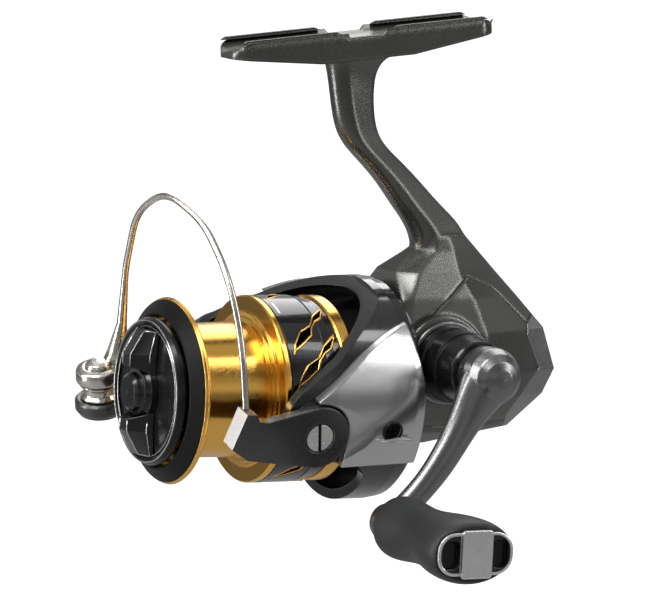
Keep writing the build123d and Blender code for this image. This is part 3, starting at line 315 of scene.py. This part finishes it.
def on_skirt(name, outline_points, width, radius, at, body, look):
    """A band along a closed (station, arc) outline, laid on a cylinder, with a wall inwards."""
    wall = 1.2
    spacing = 0.4
    dense = []
    count = len(outline_points)
    for i in range(count):
        a, b = Vector(outline_points[i]), Vector(outline_points[(i + 1) % count])
        steps = max(2, int((b - a).length / spacing))
        dense += [a.lerp(b, k / steps) for k in range(steps)]
    points, faces = [], []
    total = len(dense)
    for i, p in enumerate(dense):
        along = (dense[(i + 1) % total] - dense[i - 1]).normalized()
        outward = Vector((along.y, -along.x))
        section = ((p + outward * width, radius - 0.06),
                   (p + outward * width * 0.85, radius + 0.10),
                   (p, radius + 0.02), (p - outward * 0.05, radius - wall))
        for q, r in section:
            angle = q.y / radius
            points.append((r * math.cos(angle), q.x, r * math.sin(angle)))
    for i in range(total):
        j = (i + 1) % total
        for k in range(3):
            faces.append((i * 4 + k, i * 4 + k + 1, j * 4 + k + 1, j * 4 + k))
    return piece(name, points, faces, at, body, look, True)


gold = looks["gold"]
SKIRT_RADIUS = 22.0
REPEATS = 5

# gold edges of the skirt's windows
WINDOW = ((-43.0, -7.2), (-41.9, -3.6), (-39.7, -0.3), (-36.5, 1.5), (-34.7, 4.4), (-31.1, 7.45),
          (-31.0, 6.2), (-32.5, 3.4), (-34.4, 2.3), (-35.9, 0.4), (-36.6, -1.7), (-39.3, -3.9),
          (-42.0, -5.75))
for pair in range(REPEATS):
    for side, turned_by in enumerate((24.0, 47.0)):
        turn = DRIVE @ Matrix.Rotation(math.radians(360 / REPEATS * pair - turned_by), 4, "Y")
        on_skirt(f"window_edge_{pair}_{side}", WINDOW, 0.5, SKIRT_RADIUS, turn, "spool",
                 gold)

# plain band on the skirt, where the photo has lettering
band_look = paint("band_grey", (0.55, 0.55, 0.55), 0.2, 0.4)
BAND_RADIUS = SKIRT_RADIUS + 0.14
for k in range(REPEATS):
    turn = DRIVE @ Matrix.Rotation(math.radians(360 / REPEATS * k - 56), 4, "Y")
    arc = [(-43.0, 2.0 + 0.4 * i) for i in range(13)]
    arc += [(-42.3, 6.8 - 0.4 * i) for i in range(13)]
    points = []
    for station, along in arc:
        angle = along / (SKIRT_RADIUS + 0.1)
        points.append((BAND_RADIUS * math.cos(angle), station, BAND_RADIUS * math.sin(angle)))
    faces = [(i, i + 1, 24 - i, 25 - i) for i in range(12)]
    piece(f"skirt_band_{k}", points, faces, turn, "spool", band_look, True)

# knob cap: brushed band across a dark plate with a bright rim
CAP_STRAIGHT = 0.00525
CAP_FLAT = 0.00055
RIM_INSIDE = 0.0037
BAND_HALF = 0.0040
plate = Paint("cap_plate")
_, along, across = plate.split(plate.in_frame(KNOB))
past_straight = plate.math("SUBTRACT", plate.math("ABSOLUTE", along), CAP_STRAIGHT)
from_end = plate.math("MAXIMUM", past_straight, 0.0)
past_flat = plate.math("SUBTRACT", plate.math("ABSOLUTE", across), CAP_FLAT)
from_side = plate.math("MAXIMUM", past_flat, 0.0)
reach = plate.math("SQRT", plate.math("ADD", plate.math("MULTIPLY", from_end, from_end),
                                      plate.math("MULTIPLY", from_side, from_side)))
inside = plate.math("LESS_THAN", reach, RIM_INSIDE)
beside = plate.math("GREATER_THAN", plate.math("ABSOLUTE", along), BAND_HALF)
is_dark = plate.math("MULTIPLY", inside, beside)
brushed = plate.ramp(plate.noise(90, 2.0), (0.3, (0.80, 0.80, 0.79)), (0.7, (0.88, 0.88, 0.87)))
plate.blend(is_dark, brushed, (0.010, 0.010, 0.011))
plate.link(plate.math("SUBTRACT", 1.0, is_dark), plate.shader.inputs["Metallic"])
plate.link(plate.ramp(plate.noise(900, 4.0, stretch=(1, 1, 12)), (0.25, 0.24), (0.75, 0.36)),
           plate.shader.inputs["Roughness"])
plate.bump(plate.noise(900, 4.0, stretch=(1, 1, 12)), 0.000006, 1.0, 0.0005)
nodes["knob_cap"].data.materials[0] = plate.material

# dark recesses in the plate
dark = looks["black_gloss"]
for side in (-1, 1):
    corners = [(side * 6.3 + u * 2.05, v * 3.1) for u, v in
               ((-1, -1), (-0.6, -1.03), (0.6, -1.03), (1, -1), (1.04, 0), (1, 1), (0.6, 1.03),
                (-0.6, 1.03), (-1, 1), (-1.04, 0))]
    prism(f"cap_window_{side + 1}", corners, 78.42, 78.6, KNOB, "knob", dark)

# bail wire: straight runs joined by wide bends, swelling into the roller's head
ROUTE = ((25.9, -18.7, 2.3), (25.9, -18.7, 6.2), (22.4, -20.6, 21.0), (12.6, -21.6, 33.6),
         (-2.0, -22.8, 41.6), (-16.0, -26.6, 44.0), (-24.6, -28.6, 35.2), (-27.4, -27.6, 20.0),
         (-26.8, -26.5, 6.0), (-26.8, -26.1, -7.0))
BENDS = (12, 40, 40, 30, 16, 16, 30, 8)
centre_line = [Vector(ROUTE[0])]
for k, bend in enumerate(BENDS):
    a, corner, b = (Vector(ROUTE[k + i]) for i in range(3))
    into, out = (a - corner), (b - corner)
    turn = math.pi - into.angle(out)
    reach = min(bend * math.tan(turn / 2), into.length * 0.49, out.length * 0.49)
    start, stop = corner + into.normalized() * reach, corner + out.normalized() * reach
    for i in range(9):
        t = i / 8
        centre_line.append(start * (1 - t) ** 2 + corner * 2 * t * (1 - t) + stop * t * t)
centre_line.append(Vector((-26.8, -26.3, -1.0)))
stations = []
for p in centre_line:
    swell = max(0.0, 1 - (p.z + 1.0) / 15) if p.x < -20 else 0.0
    stations.append((tuple(p), 0.82 + 1.7 * swell ** 2.2))
stations.append(((-26.8, -27.0, -5.8), 3.0))
wire = swept("wire", stations, BAIL, "bail", looks["wire_steel"], around=28)
STACK = ROLLER @ Matrix.Rotation(math.radians(-90), 4, "X")
wire_head = turned("wire_head", [(0.0, 1.3), (-0.25, 3.6), (-0.1, 4.6), (0.25, 5.2), (0.8, 5.45),
                                 (2.9, 5.5), (3.4, 5.3), (3.6, 4.9), (3.6, 1.3)],
                   STACK, "bail", looks["wire_steel"])
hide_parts("bail_wire")
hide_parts("bail_wire")

# the upright's front facet is bright silver
holder = Paint("holder_grey")
facing = holder.split(holder.node("TexCoord").outputs["Normal"])
front_facet = holder.ramp(holder.math("MULTIPLY", facing[1], -1.0), (0.55, 0.0), (0.8, 1.0))
dark_grey = holder.ramp(holder.noise(60, 2.0), (0.3, (0.062, 0.062, 0.06)),
                        (0.7, (0.08, 0.08, 0.078)))
holder.blend(front_facet, dark_grey, (0.62, 0.62, 0.61))
holder.link(holder.math("SUBTRACT", 0.72, holder.math("MULTIPLY", front_facet, 0.55)),
            holder.shader.inputs["Metallic"])
holder.link(holder.ramp(holder.noise(4000, 4.0), (0.25, 0.24), (0.75, 0.34)),
            holder.shader.inputs["Roughness"])
holder.shader.inputs["Coat Weight"].default_value = 0.3
holder.shader.inputs["Coat Roughness"].default_value = 0.12
holder.bump(holder.noise(4000, 4.0), 0.000012, 1.0, 0.0006)
nodes["bail_holder"].data.materials[0] = holder.material

# thin chrome edge round the drag knob, and along the edges of its grip bar
chrome = looks["drag_chrome"]
nodes["drag_rim"].data.materials[0] = looks["drag_gloss"]
turned("drag_edge", [(-71.15, 16.72), (-71.45, 16.75), (-71.5, 16.5), (-71.42, 16.3),
                     (-71.2, 16.4)], DRIVE, "drag", chrome)
turned("drag_inner_edge", [(-70.98, 15.35), (-71.15, 15.4), (-71.2, 15.2), (-71.1, 15.05),
                           (-70.98, 15.1)], DRIVE, "drag", chrome)
for side in (-1, 1):
    for end in (-1, 1):
        line = [((side * 1.95, -76.6, end * 6.4), 0.16), ((side * 1.95, -76.6, end * 9.0), 0.18),
                ((side * 2.02, -73.4, end * 14.5), 0.18), ((side * 4.4, -71.6, end * 14.5), 0.16)]
        swept(f"bar_edge_{side + 1}_{end + 1}", line, DRIVE, "drag", chrome,
              around=10)
        line = [((side * 4.22, -72.6, end * 6.6), 0.14), ((side * 4.22, -72.6, end * 9.0), 0.16),
                ((side * 4.42, -71.6, end * 14.5), 0.15)]
        swept(f"bar_foot_{side + 1}_{end + 1}", line, DRIVE, "drag", chrome,
              around=10)

# pivot screws: painted shade, a black ring in the recess round the head and a black fill in the
# slot
slot_shade_look = looks["black_matte"]
for side in (1, -1):
    ring = BAIL @ Matrix.Rotation(math.radians(-90 * side), 4, "Z")
    turned(f"screw_shade_ring_{side + 1}", [(28.42, 3.34), (28.42, 3.66), (29.5, 3.66), (29.5, 3.4)],
           ring, "bail", looks["black_gloss"])
    low, high = sorted((side * 28.95, side * 29.05))
    prism(f"screw_slot_shade_{side + 1}", [(-0.44, -3.3), (0.44, -3.3), (0.44, 3.3), (-0.44, 3.3)],
          low, high, BAIL @ Matrix.Rotation(math.radians(10), 4, "X"), "bail",
          slot_shade_look)

# bright wedge beside the arm cover's screw, and painted shade: a black ring in the recess round the
# screw
SCREW = ROTOR @ Matrix.Translation(Vector((0, -20.2, 0.6)))
wedge = [(-4.6, -1.6), (-3.6, -2.2), (5.2, -2.3), (5.4, -1.7), (2.6, -1.2), (-1.4, -1.9)]
prism("cover_ledge", wedge, 28.55, 28.85, SCREW, "rotor", looks["cap_silver"])
turned("cover_screw_shade_ring", [(28.2, 2.15), (28.2, 2.6), (28.66, 2.55), (28.66, 2.2)],
       SCREW @ Matrix.Rotation(math.radians(-90), 4, "Z"), "rotor",
       looks["black_gloss"])

# foot: raised humps beside the low middle stretch, and fine serrations on the near rim
foot_look = body_grey
for side in (-1, 1):
    for end, (start, stop) in enumerate(((-33.0, -7.2), (6.6, 32.0))):
        outline_points = [(start, 2.35), (start + 1.2, 3.0), (stop - 1.2, 3.0), (stop, 2.35)]
        low, high = sorted((side * 5.0, side * 6.1))
        prism(f"foot_rail_{side + 1}_{end}", outline_points, low, high, Matrix.Identity(4),
              "body", foot_look)
RIM_X = 6.08
TOOTH_X = 6.28
TOOTH_PITCH = 2.25
points, faces = [], []
for k in range(30):
    y = -33.5 + k * TOOTH_PITCH
    if -7.5 < y < 6:
        continue
    base = len(points)
    points += [(RIM_X, y, 0.3), (RIM_X, y + 0.5, 0.3), (RIM_X, y + 1.5, 2.2),
               (RIM_X, y + 1.0, 2.2), (TOOTH_X, y + 0.1, 0.4), (TOOTH_X, y + 0.4, 0.4),
               (TOOTH_X, y + 1.4, 2.1), (TOOTH_X, y + 1.1, 2.1)]
    faces += [tuple(base + i for i in f) for f in
              ((4, 5, 6, 7), (0, 1, 5, 4), (1, 2, 6, 5), (2, 3, 7, 6), (3, 0, 4, 7))]
piece("foot_serration", points, faces, Matrix.Identity(4), "body", foot_look)

# lip: two gold lines on the spool's front edge
for k, (station, radius) in enumerate(((-66.15, 21.45), (-65.5, 21.8))):
    turned(f"lip_line_{k}", [(station - 0.12, radius - 0.2), (station - 0.18, radius),
                             (station, radius + 0.12), (station + 0.16, radius),
                             (station + 0.1, radius - 0.2)], DRIVE, "spool", gold)

# ---- studio ----
MIDDLE = Vector((0, 0, -0.07))


def area(name, at, size, power, size_y=None):
    """A soft light aimed at the reel's middle."""
    data = bpy.data.lights.new(name, "AREA")
    data.energy = power
    data.shape = "RECTANGLE"
    data.size = size
    data.size_y = size_y or size
    light = bpy.data.objects.new(name, data)
    scene.collection.objects.link(light)
    light.location = at
    light.rotation_euler = (MIDDLE - at).to_track_quat("-Z", "Y").to_euler()


def seen(lateral, toward, rise):
    """A place given as seen from the camera: right, towards it, up; in metres."""
    flat = Vector((back.x, back.y, 0)).normalized()
    across = Vector((right.x, right.y, 0)).normalized()
    return across * lateral + flat * toward + Vector((0, 0, rise)) + MIDDLE


area("key", seen(-0.30, 0.35, 0.75), 0.45, 6.0)
area("strip_left", seen(-0.75, 0.20, 0.15), 0.14, 5.0, size_y=0.9)
area("strip_right", seen(0.7, 0.15, 0.3), 0.12, 2.2, size_y=0.8)
area("rim", seen(0.1, -0.6, 0.5), 0.5, 2.5)
area("low", seen(-0.1, 0.5, -0.5), 0.3, 0.4)

# white behind the reel, and bands of light and dark for its metal to reflect
SKY = ((0.0, 0.03), (0.45, 0.08), (0.56, 0.85), (0.74, 0.16), (1.0, 1.0))
world = bpy.data.worlds.new("studio")
scene.world = world
world.use_nodes = True
tree = world.node_tree
tree.nodes.clear()
output = tree.nodes.new("ShaderNodeOutputWorld")
mix = tree.nodes.new("ShaderNodeMixShader")
path = tree.nodes.new("ShaderNodeLightPath")
shown = tree.nodes.new("ShaderNodeBackground")
shown.inputs["Color"].default_value = (1, 1, 1, 1)
shown.inputs["Strength"].default_value = 1.1
lit = tree.nodes.new("ShaderNodeBackground")
lit.inputs["Strength"].default_value = 0.62
coords = tree.nodes.new("ShaderNodeTexCoord")
parts = tree.nodes.new("ShaderNodeSeparateXYZ")
shade = tree.nodes.new("ShaderNodeValToRGB")
for position, value in SKY[1:-1]:
    shade.color_ramp.elements.new(position)
for element, (position, value) in zip(shade.color_ramp.elements, SKY):
    element.color = (value, value, value, 1)
lift = tree.nodes.new("ShaderNodeMath")
lift.operation = "MULTIPLY_ADD"
lift.inputs[1].default_value = 0.5
lift.inputs[2].default_value = 0.5
tree.links.new(coords.outputs["Generated"], parts.inputs[0])
tree.links.new(parts.outputs["Z"], lift.inputs[0])
tree.links.new(lift.outputs[0], shade.inputs["Fac"])
tree.links.new(shade.outputs["Color"], lit.inputs["Color"])
tree.links.new(path.outputs["Is Camera Ray"], mix.inputs["Fac"])
tree.links.new(lit.outputs[0], mix.inputs[1])
tree.links.new(shown.outputs[0], mix.inputs[2])
tree.links.new(mix.outputs[0], output.inputs["Surface"])

FLOOR_HALF = 3
FLOOR_Z = -0.32
floor_corners = [(x * FLOOR_HALF, y * FLOOR_HALF, FLOOR_Z)
                 for x, y in ((-1, -1), (1, -1), (1, 1), (-1, 1))]
floor_mesh = bpy.data.meshes.new("floor")
floor_mesh.from_pydata(floor_corners, [], [(0, 1, 2, 3)])
floor = bpy.data.objects.new("floor", floor_mesh)
scene.collection.objects.link(floor)
floor_look = Paint("floor_white")
floor_look.shader.inputs["Roughness"].default_value = 0.9
floor_look.link(floor_look.ramp(floor_look.noise(4), (0.3, 0.30), (0.7, 0.34)),
                floor_look.shader.inputs["Base Color"])
glow = floor_look.node("LightPath")
floor_look.shader.inputs["Emission Color"].default_value = (1, 1, 1, 1)
floor_look.link(glow.outputs["Is Camera Ray"], floor_look.shader.inputs["Emission Strength"])
floor_mesh.materials.append(floor_look.material)

scene.view_settings.view_transform = "Standard"
scene.view_settings.look = "None"
scene.view_settings.exposure = 0.0
